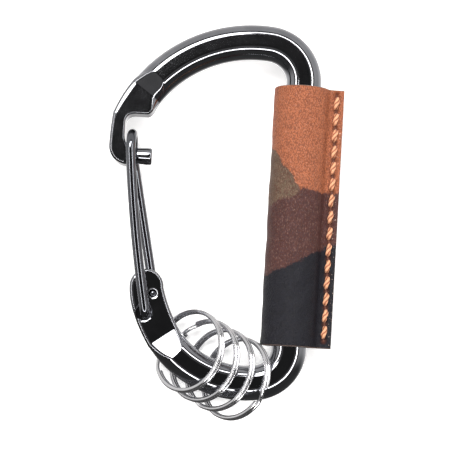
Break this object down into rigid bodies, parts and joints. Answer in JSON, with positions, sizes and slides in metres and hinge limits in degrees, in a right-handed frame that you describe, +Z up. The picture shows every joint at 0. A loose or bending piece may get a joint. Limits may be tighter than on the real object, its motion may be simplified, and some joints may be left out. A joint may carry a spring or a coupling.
{
  "type": "carabiner keyring",
  "caption": "D-shaped wire-gate carabiner keyring with a stitched leather sleeve on its spine and small split rings on its lower bend.",
  "frame": {"origin": "middle of the base, on the surface that the keyring lies on", "axes": "+Z up out of that surface, +Y along the spine towards the arch, +X from the gate to the spine"},
  "size_m": [0.0566, 0.097, 0.015],
  "materials": {
    "gunmetal": "polished black nickel plating on forged metal",
    "gate_steel": "polished black nickel plating on spring wire",
    "leather": "printed camouflage calf leather, tan, olive, maroon and near black",
    "thread": "waxed orange sewing thread",
    "nickel": "bright nickel plating on spring steel"
  },
  "bodies": {
    "frame": {"carabiner_body": "gunmetal"},
    "gate": {"gate_wire": "gate_steel"},
    "sleeve": {"leather_sleeve": "leather", "needle_thread": "thread", "bobbin_thread": "thread"},
    "ring_1": {"split_ring_1": "nickel"},
    "ring_2": {"split_ring_2": "nickel"},
    "ring_3": {"split_ring_3": "nickel"},
    "ring_4": {"split_ring_4": "nickel"}
  },
  "joints": [
    {"name": "gate_swing", "type": "hinge", "parent": "frame", "child": "gate", "pos_m": [-0.01602, -0.02164, 0.0065], "axis": [0, 0, -1], "range_deg": [0, 26], "stiffness_Nm_per_rad": 0.05, "springref_deg": -28.65},
    {"name": "sleeve_swivel", "type": "hinge", "parent": "frame", "child": "sleeve", "pos_m": [0.01833, 0.00161, 0.0065], "axis": [0, 1, 0], "range_deg": [-15, 15]},
    {"name": "ring_1_flop", "type": "hinge", "parent": "frame", "child": "ring_1", "pos_m": [-0.00571, -0.03236, 0.00716], "axis": [-0.2924, -0.9563, 0], "range_deg": [0, 70]},
    {"name": "ring_2_flop", "type": "hinge", "parent": "frame", "child": "ring_2", "pos_m": [-0.00193, -0.03443, 0.00716], "axis": [-0.2924, -0.9563, 0], "range_deg": [0, 70]},
    {"name": "ring_3_flop", "type": "hinge", "parent": "frame", "child": "ring_3", "pos_m": [0.00183, -0.03633, 0.00723], "axis": [-0.2924, -0.9563, 0], "range_deg": [0, 70]},
    {"name": "ring_4_flop", "type": "hinge", "parent": "frame", "child": "ring_4", "pos_m": [0.00583, -0.03826, 0.00754], "axis": [-0.2924, -0.9563, 0], "range_deg": [0, 70]}
  ],
  "couplings": [
    {"joint": "ring_2_flop", "follows": "ring_1_flop", "ratio": 1},
    {"joint": "ring_3_flop", "follows": "ring_1_flop", "ratio": 1},
    {"joint": "ring_4_flop", "follows": "ring_1_flop", "ratio": 1}
  ]
}
